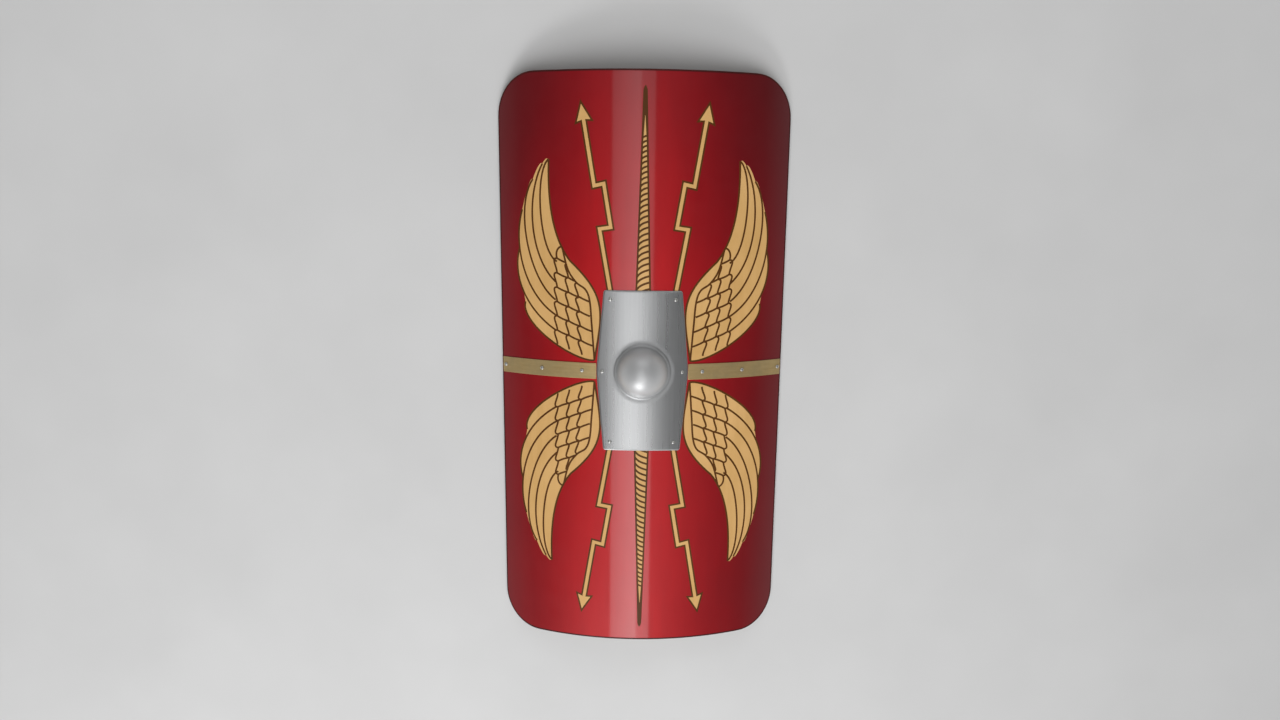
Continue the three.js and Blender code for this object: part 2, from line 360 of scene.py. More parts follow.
# %% The bolt
BOLT_CORNERS = ((111.5, 467.2), (88.2, 329.5), (71.1, 333.2), (58.4, 258.1), (78.5, 255.1), (58.6, 144.0))
BOLT_WIDTH = 6
HEAD_LENGTH = 28
HEAD_WIDTH = 24.5
HEAD_NOTCH = 2.5
NECK_OVERLAP = 3
OUTLINE = 3.2

bolt = [Vector(corner) for corner in BOLT_CORNERS]
bolt_way = (bolt[0] - bolt[1]).normalized()
bolt_side = Vector((-bolt_way.y, bolt_way.x))
head_base = bolt[0] - bolt_way * HEAD_LENGTH
arrowhead = [
    bolt[0],
    head_base + bolt_side * (HEAD_WIDTH / 2),
    head_base + bolt_way * HEAD_NOTCH,
    head_base - bolt_side * (HEAD_WIDTH / 2),
]
bolt_line = [head_base + bolt_way * (HEAD_NOTCH + NECK_OVERLAP), *bolt[1:]]
print("bolt length:", round(sum((a - b).length for a, b in zip(bolt, bolt[1:]))), "mm")

# %% [markdown]
# Along the middle runs a tapering shaft twisted like rope. Its brown strands get closer as it narrows.
# Past the last of them the ochre runs out to a point, and the tip is plain brown.

# %% The twisted shaft
SHAFT_TIP = 498
SHAFT_START = 144
SHAFT_WIDTH = (27.8, 7)
TIP_ROUND = 8
PLAIN_FROM = 405
PLAIN_NARROWING = 0.035
STRAND_PITCH = (11.6, 7.3)
STRAND_LINE = (3.7, 3.3)
STRAND_RISE = 0.62
STRAND_INSET = 1
STRAND_OVERRUN = 8
THINNEST_HALF = 0.2
# A strand's start, two handles and end, as shares of its half width and of its rise
STRAND_SHARES = ((-1, -1), (-0.5, 0.3), (0.2, 0.5), (1, 0.9))


def share_of_shaft(along):
    return (along - SHAFT_START) / (SHAFT_TIP - SHAFT_START)


def tapered(ends, share):
    return ends[0] + (ends[1] - ends[0]) * share


def shaft_half_width(along):
    straight = tapered(SHAFT_WIDTH, share_of_shaft(along))
    return straight / 2 * math.sqrt(min(1, max(0, (SHAFT_TIP - along) / TIP_ROUND)))


def shaft_loop(inset, steps=40):
    """The shaft's outline, or with an inset the ochre within it, which narrows faster near the tip."""
    # A square law crowds the steps towards the tip, where the outline turns
    heights = [SHAFT_TIP - (SHAFT_TIP - SHAFT_START) * (step / steps) ** 2 for step in range(steps + 1)]
    halves = []
    for height in heights:
        narrowed = inset + PLAIN_NARROWING * max(0, height - PLAIN_FROM) if inset else 0
        halves.append((height, shaft_half_width(height) - narrowed))
    halves = [(height, half) for height, half in halves if half > THINNEST_HALF]
    tip = [] if inset else [Vector((0, SHAFT_TIP))]
    right = [Vector((half, height)) for height, half in halves]
    left = [Vector((-half, height)) for height, half in reversed(halves)]
    return tip + right + left


def strand_line(along):
    half = shaft_half_width(along) - STRAND_INSET
    rise = half * STRAND_RISE
    return free_curve(*((half * across, along + rise * up) for across, up in STRAND_SHARES), 8)


strands = []
strand_at = SHAFT_START
while strand_at < PLAIN_FROM + STRAND_OVERRUN:
    share = share_of_shaft(strand_at)
    strands.append(brush(strand_line(strand_at), tapered(STRAND_LINE, share)))
    strand_at += tapered(STRAND_PITCH, share)
print("strands in half the shaft:", len(strands))

# %% [markdown]
# ## The order of painting
#
# What is painted later covers what lies under it. Each entry is a loop and a colour, so the whole
# ornament is one list in painting order. Every coat is thinner than a hair, so nothing is raised.

# %% Gather the painted shapes
# EDGE is the dark colour of the board's rim and border line, painted shade of its edge
RED, OCHRE, BROWN, EDGE, BACK = range(5)
# The dark line of painted shade round the face, and how much of the leading edge has a border
EDGE_LINE = 3.4
LEADING_PART = 30


def mirrored(loop, way_across, way_along):
    return [Vector((point.x * way_across, point.y * way_along)) for point in loop]


def wing_paints():
    edges = [leading_edge, *outer_edges, trailing_edge]
    fills = []
    for inner, outer in zip(edges, edges[1:]):
        fills.append([*inner, *feather_end(inner[-1], outer[-1]), *outer[::-1]])
    fills += [feather_field, [*border_line, *leading_edge[LEADING_PART::-1]]]
    brush_lines = [*small_feather_lines, *edges, border_line]
    return [(fill, OCHRE) for fill in fills] + [(brush(line, LINE_WIDTH), BROWN) for line in brush_lines]


def bolt_paints():
    return [
        (brush(bolt_line, BOLT_WIDTH + OUTLINE * 2), BROWN),
        (grown(arrowhead, OUTLINE), BROWN),
        (brush(bolt_line, BOLT_WIDTH), OCHRE),
        (arrowhead, OCHRE),
    ]


# The red stops short of the outline, so a dark border of painted shade is left round the face
painted = [(grown(board_outline, -EDGE_LINE), RED)]
for way_along in (1, -1):
    for way_across in (1, -1):
        for loop, colour in [*wing_paints(), *bolt_paints()]:
            painted.append((mirrored(loop, way_across, way_along), colour))
    shaft = [(shaft_loop(0), BROWN), (shaft_loop(OUTLINE), OCHRE), *((strand, BROWN) for strand in strands)]
    painted += [(mirrored(loop, 1, way_along), colour) for loop, colour in shaft]
print("painted shapes:", len(painted))

# %% [markdown]
# ## Sheets that follow the curve
#
# The board, the boss plate and the bands are all flat shapes bent round the same tube. First the flat
# drawing is cut into triangles along its outline, its holes and every edge of paint. Straight lines
# right across it are cut too, close enough that the bent sheet shows no facets. Blender's constrained
# triangulation does this, and it also says in which shapes each triangle lies.

# %% Cut a drawing into triangles
# How far the cutting lines run past the outline, and how close two points are when they count as one
LINE_PAST = 5
SAME_POINT = 1e-4


def cutting_lines(outline, steps):
    """The ends of straight lines right across a drawing, first up it and then across it."""
    low = Vector((min(p.x for p in outline), min(p.y for p in outline)))
    high = Vector((max(p.x for p in outline), max(p.y for p in outline)))
    ends = []
    for axis, step in enumerate(steps):
        for line in range(math.ceil(low[axis] / step), math.floor(high[axis] / step) + 1):
            for end in (low[1 - axis] - LINE_PAST, high[1 - axis] + LINE_PAST):
                ends.append(Vector((end, line * step) if axis else (line * step, end)))
    return ends


def cut_drawing(outline, holes, paints, steps):
    """Corners, triangles and each triangle's colour. The paint that comes last lies on top."""
    points, loops = [], []
    for loop in [outline, *holes, *(loop for loop, colour in paints)]:
        loops.append(list(range(len(points), len(points) + len(loop))))
        points += left_first(loop)
    first_end = len(points)
    points += cutting_lines(outline, steps)
    lines = [(end, end + 1) for end in range(first_end, len(points), 2)]
    corners, _, triangles, _, _, origins = delaunay_2d_cdt(points, lines, loops, 0, SAME_POINT)
    first_paint = 1 + len(holes)
    kept, colours = [], []
    for triangle, origin in zip(triangles, origins):
        if 0 in origin and not any(0 < loop < first_paint for loop in origin):
            kept.append(triangle)
            top = max(origin)
            colours.append(paints[top - first_paint][1] if top >= first_paint else EDGE)
    used = sorted({corner for triangle in kept for corner in triangle})
    place = {corner: index for index, corner in enumerate(used)}
    kept = [[place[corner] for corner in triangle] for triangle in kept]
    return [Vector(corners[corner]) for corner in used], kept, colours


def rims_of(triangles):
    """The open edges of a cut drawing, chained into loops with the material on their left."""
    edges = {(a, b) for t in triangles for a, b in zip(t, [*t[1:], t[0]])}
    following = {a: b for a, b in edges if (b, a) not in edges}
    rims = []
    while following:
        rim = [next(iter(following))]
        while following.get(rim[-1], rim[0]) != rim[0]:
            rim.append(following[rim[-1]])
        for corner in rim:
            following.pop(corner)
        rims.append(rim)
    return rims


print("rims of one triangle:", rims_of([[0, 1, 2]]))

# %% [markdown]
# Then the drawing is bent twice, for the front and the back of the sheet, and each open rim is carried
# round from one skin to the other. A worked edge is never sharp, so the rim is eased. The curve's own
# directions are given as normals, so that light runs over it smoothly although it is made of triangles.

# %% A closed piece in the making
SHARP_ANGLE = math.radians(40)


class Sheet:
    """Points, normals and faces of one closed piece while it is being made."""

    def __init__(self):
        self.points, self.normals, self.faces, self.colours = [], [], [], []

    def add(self, point, normal=None):
        self.points.append(point)
        self.normals.append(normal)
        return len(self.points) - 1

    def band(self, rows, colour):
        """Joins rows of points that each close on themselves."""
        for row, following in zip(rows, rows[1:]):
            for a, b, c, d in zip(row, [*row[1:], row[0]], [*following[1:], following[0]], following):
                self.faces.append((a, b, c, d))
                self.colours.append(colour)

    def fan(self, row, tip, colour):
        """Closes the end of a row of points with triangles that meet at a tip."""
        for a, b in zip(row, [*row[1:], row[0]]):
            self.faces.append((a, b, tip))
            self.colours.append(colour)

    def build(self, name, materials):
        mesh = bpy.data.meshes.new(name)
        mesh.from_pydata(self.points, [], self.faces)
        mesh.validate()
        for material in materials:
            mesh.materials.append(material)
        mesh.polygons.foreach_set("material_index", self.colours)
        mesh.shade_smooth()
        if any(self.normals):
            found = [vertex.normal for vertex in mesh.vertices]
            kept = [given or own for given, own in zip(self.normals, found)]
            mesh.normals_split_custom_set_from_vertices(kept)
        else:
            mesh.set_sharp_from_angle(angle=SHARP_ANGLE)
        piece = bpy.data.objects.new(name, mesh)
        bpy.context.scene.collection.objects.link(piece)
        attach(piece, "root")
        return piece


print("what a sheet can do:", [name for name in vars(Sheet) if not name.startswith("_")])

# %% Bend a drawing into a closed sheet
RIM_STEPS = 4
# Rims round less than this area, in square millimetres, belong to rivet holes and are only broken
SMALLEST_EASED = 1000
HOLE_EASING = (0.15, 0.15, 0.15)


def rim_normals(rim, corners):
    normals = []
    for before, here, after in zip([rim[-1], *rim[:-1]], rim, [*rim[1:], rim[0]]):
        first = (corners[here] - corners[before]).normalized()
        second = (corners[after] - corners[here]).normalized()
        out = first + second
        normals.append(Vector((out.y, -out.x)).normalized())
    return normals


def eased_rim(sheet, rim, corners, inner, outer, easing):
    """Rows of points that carry a rim round from the front skin to the back skin."""
    reach, front_depth, back_radius = easing
    outs = rim_normals(rim, corners)
    turns = [math.pi * step / RIM_STEPS / 2 for step in range(1, RIM_STEPS + 1)]
    # The back starts as far out as its own radius asks, so that the rim's side stands upright
    passes = (
        (outer, 1, 0, reach, front_depth, turns),
        (inner, -1, reach - back_radius, back_radius, back_radius, turns[::-1]),
    )
    rows = []
    for skin, sign, start, span, depth, order in passes:
        for turn in order:
            row = []
            for corner, out in zip(rim, outs):
                flat = corners[corner] + out * (start + span * math.sin(turn))
                radius = skin - sign * depth * (1 - math.cos(turn))
                side = sideways(flat.x) * out.x + Vector((0, out.y, 0))
                normal = side * (depth * math.sin(turn)) + outwards(flat.x) * (sign * span * math.cos(turn))
                row.append(sheet.add(on_curve(flat.x, flat.y, radius), normal.normalized()))
            rows.append(row)
    return rows


def bend_sheet(drawing, inner, outer, easing, skip=None):
    """Front and back skins with eased rims. A rim that skip says yes to is left open and returned.

    The easing is its reach along the front, its depth there, and its radius at the back.
    """
    corners, triangles, colours = drawing
    sheet = Sheet()
    front = [sheet.add(on_curve(c.x, c.y, outer), outwards(c.x)) for c in corners]
    back = [sheet.add(on_curve(c.x, c.y, inner), -outwards(c.x)) for c in corners]
    for triangle, colour in zip(triangles, colours):
        sheet.faces.append([front[corner] for corner in triangle])
        sheet.faces.append([back[corner] for corner in reversed(triangle)])
        sheet.colours += [colour, BACK]
    open_rims = []
    for rim in rims_of(triangles):
        shape = [corners[corner] for corner in rim]
        if skip and skip(shape):
            open_rims.append(rim)
            continue
        is_large = abs(signed_area(shape)) > SMALLEST_EASED
        rows = [[front[corner] for corner in rim]]
        rows += eased_rim(sheet, rim, corners, inner, outer, easing if is_large else HOLE_EASING)
        rows.append([back[corner] for corner in rim])
        sheet.band([row[::-1] for row in rows], EDGE)
    return sheet, front, back, open_rims


print("rim steps at each arris:", RIM_STEPS)

# %% [markdown]
# ## Finishes
#
# No real surface is one flat colour. Paint varies with the brush, metal shows the direction it was rubbed
# in, and wood shows its grain. Each finish below mixes a few close colours by noise that is tied to the
# object's own measures, so that nothing slides or repeats, and adds a little roughness and relief.

# %% Helpers for node materials
class Finish:
    """A material with one main shader, and short ways to add the nodes that drive it."""

    def __init__(self, name):
        self.material = bpy.data.materials.new(name)
        self.material.use_nodes = True
        self.nodes = self.material.node_tree.nodes
        self.links = self.material.node_tree.links
        self.shader = self.nodes["Principled BSDF"]
        self.place = self.nodes.new("ShaderNodeTexCoord").outputs["Object"]

    def set(self, **values):
        for name, value in values.items():
            self.shader.inputs[name.replace("_", " ")].default_value = value

    def join(self, output, socket):
        self.links.new(output, socket)

    def stretched(self, scale):
        mapping = self.nodes.new("ShaderNodeMapping")
        mapping.inputs["Scale"].default_value = scale
        self.join(self.place, mapping.inputs["Vector"])
        return mapping.outputs["Vector"]

    def noise(self, scale, detail=4, stretch=(1, 1, 1), roughness=0.55):
        node = self.nodes.new("ShaderNodeTexNoise")
        node.inputs["Scale"].default_value = scale
        node.inputs["Detail"].default_value = detail
        node.inputs["Roughness"].default_value = roughness
        self.join(self.stretched(stretch), node.inputs["Vector"])
        return node.outputs["Fac"]

    def ramp(self, value, stops):
        node = self.nodes.new("ShaderNodeValToRGB")
        self.join(value, node.inputs["Fac"])
        elements = node.color_ramp.elements
        while len(elements) < len(stops):
            elements.new(0.5)
        for element, (place, colour) in zip(elements, stops):
            element.position = place
            element.color = (*colour, 1)
        return node.outputs["Color"]

    def blend(self, share, first, second, mode="MIX"):
        node = self.nodes.new("ShaderNodeMix")
        node.data_type = "RGBA"
        node.blend_type = mode
        for value, socket in ((share, node.inputs[0]), (first, node.inputs[6]), (second, node.inputs[7])):
            if isinstance(value, bpy.types.NodeSocket):
                self.join(value, socket)
            else:
                socket.default_value = value if isinstance(value, float) else (*value, 1)
        return node.outputs[2]

    def between(self, value, low, high, start=0.3, end=0.7):
        node = self.nodes.new("ShaderNodeMapRange")
        self.join(value, node.inputs["Value"])
        numbers = {"From Min": start, "From Max": end, "To Min": low, "To Max": high}
        for name, number in numbers.items():
            node.inputs[name].default_value = number
        return node.outputs["Result"]

    def reckon(self, first, second, operation="ADD"):
        node = self.nodes.new("ShaderNodeMath")
        node.operation = operation
        for value, socket in ((first, node.inputs[0]), (second, node.inputs[1])):
            if isinstance(value, bpy.types.NodeSocket):
                self.join(value, socket)
            else:
                socket.default_value = value
        return node.outputs[0]

    def colour(self, output):
        self.join(output, self.shader.inputs["Base Color"])

    def rough(self, output):
        self.join(output, self.shader.inputs["Roughness"])

    def relief(self, value, strength, depth):
        node = self.nodes.new("ShaderNodeBump")
        node.inputs["Strength"].default_value = strength
        node.inputs["Distance"].default_value = depth
        previous = self.shader.inputs["Normal"].links
        if previous:
            self.join(previous[0].from_socket, node.inputs["Normal"])
        self.join(value, node.inputs["Height"])
        self.join(node.outputs["Normal"], self.shader.inputs["Normal"])


print("ways to drive a finish:", len([name for name in vars(Finish) if not name.startswith("_")]))

# %% [markdown]
# The red ground is lacquered: a clear hard coat over it gives the sharp streak of light down the middle,
# and the softer gloss of the paint under it spreads towards the foot. The red is painted lightest along
# the middle, a little left of it, and darker towards the long edges and the head: painted light and
# shade of the curved face. The ornament was painted over it in a nearly matt paint that shows the brush,
# so the streak hardly crosses it.

# %% Paints of the face
# In metres: where the red's painted light is brightest, and from where to where its painted shade
# deepens across and along the face
PAINTED_LIGHT_MIDDLE = -0.025
PAINTED_SHADE_ACROSS = (0.06, 0.36)
PAINTED_SHADE_ALONG = (0.18, 1.18)
REDS_LIT_TO_SHADED = (
    (0, (0.46, 0.002, 0.005)),
    (0.33, (0.265, 0.0015, 0.005)),
    (0.67, (0.14, 0.001, 0.004)),
    (1, (0.077, 0.001, 0.003)),
)


def lacquer_finish():
    finish = Finish("red_lacquer")
    split = finish.nodes.new("ShaderNodeSeparateXYZ")
    finish.join(finish.place, split.inputs["Vector"])
    # Painted light and shade: the red is lightest along the middle and darkens towards the long edges and the
    # head
    across = finish.reckon(finish.reckon(split.outputs["X"], -PAINTED_LIGHT_MIDDLE), 0.0, "ABSOLUTE")
    painted_shade_across = finish.between(across, 0, 1, *PAINTED_SHADE_ACROSS)
    painted_shade_along = finish.between(split.outputs["Y"], 0, 1, *PAINTED_SHADE_ALONG)
    cloudy = finish.between(finish.noise(6, 5), -0.04, 0.04)
    depth = finish.reckon(finish.reckon(painted_shade_across, painted_shade_along), cloudy)
    marks = finish.noise(60, 3, (1, 0.12, 1))
    marked = finish.between(marks, 0, 0.12)
    finish.colour(finish.blend(marked, finish.ramp(depth, REDS_LIT_TO_SHADED), (0.09, 0.002, 0.003)))
    finish.rough(finish.between(finish.noise(38, 4), 0.42, 0.5))
    finish.relief(finish.noise(420, 3), 0.05, 0.0002)
    finish.set(Coat_Weight=1.0, Coat_Roughness=0.07, Coat_IOR=1.5, Specular_IOR_Level=0.6)
    finish.set(Specular_Tint=(1, 0.6, 0.62, 1))
    return finish.material


def matt_paint(name, dark, middle, light):
    finish = Finish(name)
    cloudy = finish.noise(9, 5)
    marks = finish.noise(70, 3, (1, 0.15, 1))
    base = finish.ramp(cloudy, ((0.3, dark), (0.5, middle), (0.7, light)))
    finish.colour(finish.blend(0.35, base, finish.ramp(marks, ((0.35, dark), (0.65, light)))))
    finish.rough(finish.between(finish.noise(38, 4), 0.5, 0.62))
    finish.relief(marks, 0.12, 0.0002)
    finish.set(Coat_Weight=0.08, Coat_Roughness=0.25, Specular_IOR_Level=0.25)
    return finish.material


red_lacquer = lacquer_finish()
ochre_paint = matt_paint("ochre_paint", (0.58, 0.335, 0.115), (0.64, 0.38, 0.14), (0.70, 0.425, 0.17))
brown_paint = matt_paint("brown_paint", (0.065, 0.021, 0.002), (0.085, 0.028, 0.003), (0.105, 0.037, 0.004))
# Dark paint for the board's rim and border line: painted shade of the edge
edge_shade_paint = matt_paint("edge_shade_paint", (0.035, 0.004, 0.004), (0.05, 0.005, 0.005), (0.07, 0.007, 0.006))
print("paints:", red_lacquer.name, ochre_paint.name, brown_paint.name, edge_shade_paint.name)

# %% [markdown]
# The back stays bare wood: strips of veneer laid side by side across the shield and oiled. The strips
# show as slightly different tones with a fine dark joint between them.

# %% Wood of the back and of the grip
def veneer_finish():
    finish = Finish("veneer")
    grain = finish.noise(22, 6, (0.25, 5, 1), 0.6)
    browns = ((0.3, (0.27, 0.15, 0.07)), (0.5, (0.38, 0.23, 0.115)), (0.72, (0.46, 0.29, 0.155)))
    base = finish.ramp(grain, browns)
    strips = finish.nodes.new("ShaderNodeTexBrick")
    finish.join(finish.place, strips.inputs["Vector"])
    numbers = {"Scale": 1, "Mortar Size": 0.0007, "Brick Width": 4, "Row Height": 0.07, "Mortar Smooth": 0.3}
    for name, number in numbers.items():
        strips.inputs[name].default_value = number
    strips.inputs["Color1"].default_value = (1, 1, 1, 1)
    strips.inputs["Color2"].default_value = (0.82, 0.78, 0.74, 1)
    strips.inputs["Mortar"].default_value = (0.35, 0.28, 0.22, 1)
    finish.colour(finish.blend(1.0, base, strips.outputs["Color"], "MULTIPLY"))
    finish.rough(finish.between(grain, 0.5, 0.66))
    finish.relief(grain, 0.18, 0.0006)
    finish.relief(strips.outputs["Fac"], -0.3, 0.0005)
    return finish.material


def grip_finish():
    finish = Finish("grip_wood")
    grain = finish.noise(34, 6, (0.18, 4, 4), 0.6)
    browns = ((0.3, (0.15, 0.07, 0.028)), (0.52, (0.24, 0.12, 0.05)), (0.72, (0.33, 0.18, 0.08)))
    base = finish.ramp(grain, browns)
    worn = finish.noise(7, 3)
    finish.colour(finish.blend(finish.between(worn, 0.0, 0.4), base, (0.36, 0.20, 0.10)))
    finish.rough(finish.between(worn, 0.38, 0.58))
    finish.relief(grain, 0.2, 0.0005)
    return finish.material


veneer = veneer_finish()
grip_wood = grip_finish()
print("woods:", veneer.name, grip_wood.name)

# %% [markdown]
# The boss is sheet steel, raised cold with a hammer and then rubbed bright, so it has faint dents and
# fine scratches along the shield. The bend round the dome took the hammer's blows and stays duller than
# the flat of the plate, and so do the two filed ends. The dome is painted a paler grey than the plate, as
# painted light that makes it read brighter. The brass of the bands has gone dull with handling.

# %% Metals
# In metres: where the dome ends, where its bend ends, and where the plate's filed ends begin
DOME_ENDS = (0.045, 0.051)
BEND_ENDS = (0.054, 0.06)
FILED_FROM = (0.1435, 0.1455)


def boss_steel_finish():
    finish = Finish("boss_steel")
    rubbed = finish.noise(240, 3, (1, 0.008, 0))
    from_axis = finish.nodes.new("ShaderNodeVectorMath")
    from_axis.operation = "LENGTH"
    finish.join(finish.stretched((1, 1, 0)), from_axis.inputs[0])
    on_dome = finish.between(from_axis.outputs["Value"], 1, 0, *DOME_ENDS)
    inside_bend = finish.between(from_axis.outputs["Value"], 1, 0, *BEND_ENDS)
    split = finish.nodes.new("ShaderNodeSeparateXYZ")
    finish.join(finish.place, split.inputs["Vector"])
    from_waist = finish.reckon(split.outputs["Y"], 0.0, "ABSOLUTE")
    dull = finish.reckon(inside_bend, finish.between(from_waist, 0, 1, *FILED_FROM))
    bright = finish.ramp(rubbed, ((0.3, (0.40, 0.405, 0.41)), (0.7, (0.44, 0.445, 0.45))))
    # Painted light: the dome gets a paler grey than the flat plate, so that it reads brighter
    finish.colour(finish.blend(on_dome, bright, (0.56, 0.565, 0.57)))
    finish.rough(finish.reckon(finish.between(rubbed, 0.27, 0.285), finish.reckon(dull, 0.18, "MULTIPLY")))
    finish.relief(finish.noise(26, 1), 0.06, 0.0012)
    finish.relief(rubbed, 0.004, 0.0002)
    finish.join(finish.between(on_dome, 0.8, 0.5, 0, 1), finish.shader.inputs["Metallic"])
    return finish.material


def band_brass_finish():
    finish = Finish("band_brass")
    rubbed = finish.noise(260, 4, (0.06, 1, 0.2))
    dull = finish.noise(30, 5)
    bright = finish.ramp(rubbed, ((0.3, (0.58, 0.41, 0.18)), (0.7, (0.66, 0.49, 0.24))))
    finish.colour(finish.blend(finish.between(dull, 0.0, 0.7), bright, (0.40, 0.31, 0.16)))
    finish.rough(finish.between(dull, 0.42, 0.6))
    finish.relief(rubbed, 0.06, 0.0002)
    finish.set(Metallic=0.7)
    return finish.material


def rivet_steel_finish():
    finish = Finish("rivet_steel")
    struck = finish.noise(300, 2)
    finish.colour(finish.ramp(struck, ((0.3, (0.52, 0.52, 0.50)), (0.7, (0.68, 0.68, 0.65)))))
    finish.rough(finish.between(struck, 0.3, 0.42))
    finish.relief(struck, 0.15, 0.0003)
    finish.set(Metallic=0.85)
    return finish.material


boss_steel = boss_steel_finish()
band_brass = band_brass_finish()
rivet_steel = rivet_steel_finish()
print("metals:", boss_steel.name, band_brass.name, rivet_steel.name)

# %% [markdown]
# ## The rivets' places
#
# Twelve rivets hold the metal on: four at the plate's corners, two at its waist and three in each band.
# The waist rivets and the inner four of the bands also hold the grip behind. All are listed before the
# sheets are made, because each sheet needs its holes.

# %% Where the rivets stand
PLATE_HEIGHT = 295
PLATE_END = 141
PLATE_WAIST = 166
PLATE_WAIST_FLAT = 14
PLATE_SHEET = 1.5
BAND_WIDTH = 29
BAND_THICKNESS = 1.2
GRIP_THICKNESS = 12
SHANK = 3.6
HEAD = 7
HEAD_HEIGHT = 2.1
TAIL = 6.4
TAIL_HEIGHT = 1.6
HOLE_CLEARANCE = 0.25
HOLE_SIDES = 12
BAND_GAP = 0.5
BAND_MARGIN = 3
# How far each rivet stands in: from the plate's side and end, from its waist, from the band's two ends
CORNER_RIVET = (13.5, 16)
WAIST_RIVET = 10.3
BAND_RIVETS = (26.5, 6.7)

PLATE_FACE = FACE_RADIUS + TOUCH_GAP + PLATE_SHEET
BAND_FACE = FACE_RADIUS + TOUCH_GAP + BAND_THICKNESS
GRIP_FRONT = BACK_RADIUS - TOUCH_GAP
GRIP_BACK = GRIP_FRONT - GRIP_THICKNESS
BAND_INNER = PLATE_WAIST / 2 + BAND_GAP
BAND_OUTER = BOARD_ARC / 2 - BAND_MARGIN

side_slope = (PLATE_WAIST - PLATE_END) / (PLATE_HEIGHT - PLATE_WAIST_FLAT)
corner_across = PLATE_END / 2 + side_slope * CORNER_RIVET[1] - CORNER_RIVET[0]
corner_along = PLATE_HEIGHT / 2 - CORNER_RIVET[1]
band_first, band_last = BAND_INNER + BAND_RIVETS[0], BAND_OUTER - BAND_RIVETS[1]
band_places = (("inner", GRIP_BACK), ("middle", GRIP_BACK), ("outer", BACK_RADIUS))

# Each rivet's name, its place round the curve and along the shield, and the faces it clamps between
rivets = []
for side, way in (("left", -1), ("right", 1)):
    for end, up in (("upper", 1), ("lower", -1)):
        name = f"plate_rivet_{end}_{side}"
        rivets.append((name, way * corner_across, up * corner_along, PLATE_FACE, BACK_RADIUS))
    waist_across = way * (PLATE_WAIST / 2 - WAIST_RIVET)
    rivets.append((f"plate_rivet_waist_{side}", waist_across, 0, PLATE_FACE, GRIP_BACK))
    for index, (place, back) in enumerate(band_places):
        across = band_first + (band_last - band_first) * index / 2
        rivets.append((f"band_rivet_{place}_{side}", way * across, 0, BAND_FACE, back))
print("rivets:", len(rivets))


def holes_for(chosen):
    radius = SHANK / 2 + HOLE_CLEARANCE
    places = [(across, along) for name, across, along, *_ in rivets if chosen(name, across)]
    return [circle(across, along, radius, HOLE_SIDES) for across, along in places]


# %% [markdown]
# ## The board
#
# The flat drawing of the board carries the outline, the hand hole, the rivet holes and all the paint.
# Cutting it into triangles along the paint gives edges as crisp as a brush line at any distance, with
# no picture file. The thin dark line round the face and the dark rim are painted shade of the board's edge.

# %% Make the painted board
BOARD_EASING = (1.2, 1.2, 0.5)
BOARD_STEPS = (8, 25)
HAND_HOLE_SIDES = 64

hand_hole = circle(0, 0, HAND_HOLE / 2 + BOARD_EASING[0], HAND_HOLE_SIDES)
board_holes = [hand_hole, *holes_for(lambda name, across: True)]
board_drawing = cut_drawing(grown(board_outline, -BOARD_EASING[0]), board_holes, painted, BOARD_STEPS)
board_sheet, *_ = bend_sheet(board_drawing, BACK_RADIUS, FACE_RADIUS, BOARD_EASING)
board = board_sheet.build("painted_board", [red_lacquer, ochre_paint, brown_paint, edge_shade_paint, veneer])
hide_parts("board")
print("board faces:", len(board.data.polygons))

# %% [markdown]
# ## The boss plate
#
# The plate and its dome are one sheet. A smith would hammer the dome out of the flat sheet over a hollow
# and leave a soft bend where it meets the plate. The flat part is drawn like the other sheets. The dome
# is given by half of its section: a small arc for the bend, then a large one over the crown.

# %% The plate's outline and the dome's half section
DOME_BASE = 94
DOME_HEIGHT = 46
DOME_BEND = 6
DOME_STEPS = 26
BEND_STEPS = 8
PLATE_CORNER = 4
WAIST_CORNER = PLATE_WAIST_FLAT / 2 - 0.5
PLATE_EASING = (3, 1.1, 0.3)
# Handles this far towards the corner make a free curve look like an arc
ARC_HANDLE = 0.56


def plate_outline(inset):
    end = Vector((PLATE_END / 2, PLATE_HEIGHT / 2))
    waist = Vector((PLATE_WAIST / 2, PLATE_WAIST_FLAT / 2))
    corners = [end, Vector((-end.x, end.y)), Vector((-waist.x, waist.y)), Vector((-waist.x, -waist.y)),
               -end, Vector((end.x, -end.y)), Vector((waist.x, -waist.y)), waist]
    loop = []
    for before, corner, after in zip([corners[-1], *corners[:-1]], corners, [*corners[1:], corners[0]]):
        cut = PLATE_CORNER if abs(corner.y) == end.y else WAIST_CORNER
        start = corner + (before - corner).normalized() * cut
        stop = corner + (after - corner).normalized() * cut
        loop += free_curve(start, start.lerp(corner, ARC_HANDLE), stop.lerp(corner, ARC_HANDLE), stop, 7)
    return grown(loop, -inset)


def dome_profile(depth):
    """Distance from the dome's axis and height above the plate, from the foot of the bend to the crown."""
    sphere = ((DOME_BASE / 2) ** 2 + DOME_HEIGHT**2) / (2 * DOME_HEIGHT)
    centre = DOME_HEIGHT - sphere
    foot = math.sqrt((sphere + DOME_BEND) ** 2 - (DOME_BEND - centre) ** 2)
    meeting = math.atan2(foot, DOME_BEND - centre)
    bend, crown = DOME_BEND + depth, sphere - depth
    profile = []
    for step in range(BEND_STEPS + 1):
        turn = meeting * step / BEND_STEPS
        profile.append((foot - bend * math.sin(turn), DOME_BEND - bend * math.cos(turn)))
    for step in range(DOME_STEPS - 1, -1, -1):
        turn = meeting * step / DOME_STEPS
        profile.append((crown * math.sin(turn), centre + crown * math.cos(turn)))
    return profile


dome_foot = dome_profile(0)[0][0]
print("dome foot radius:", round(dome_foot, 1), "mm")

# %% [markdown]
# Rings of points rise from the plate's round opening over the bend to the crown, outside and inside. The
# opening follows the board's curve and the crown doesn't, so each ring is a little flatter than the one
# below it.

# %% Raise the boss plate
DOME_SIDES = 96


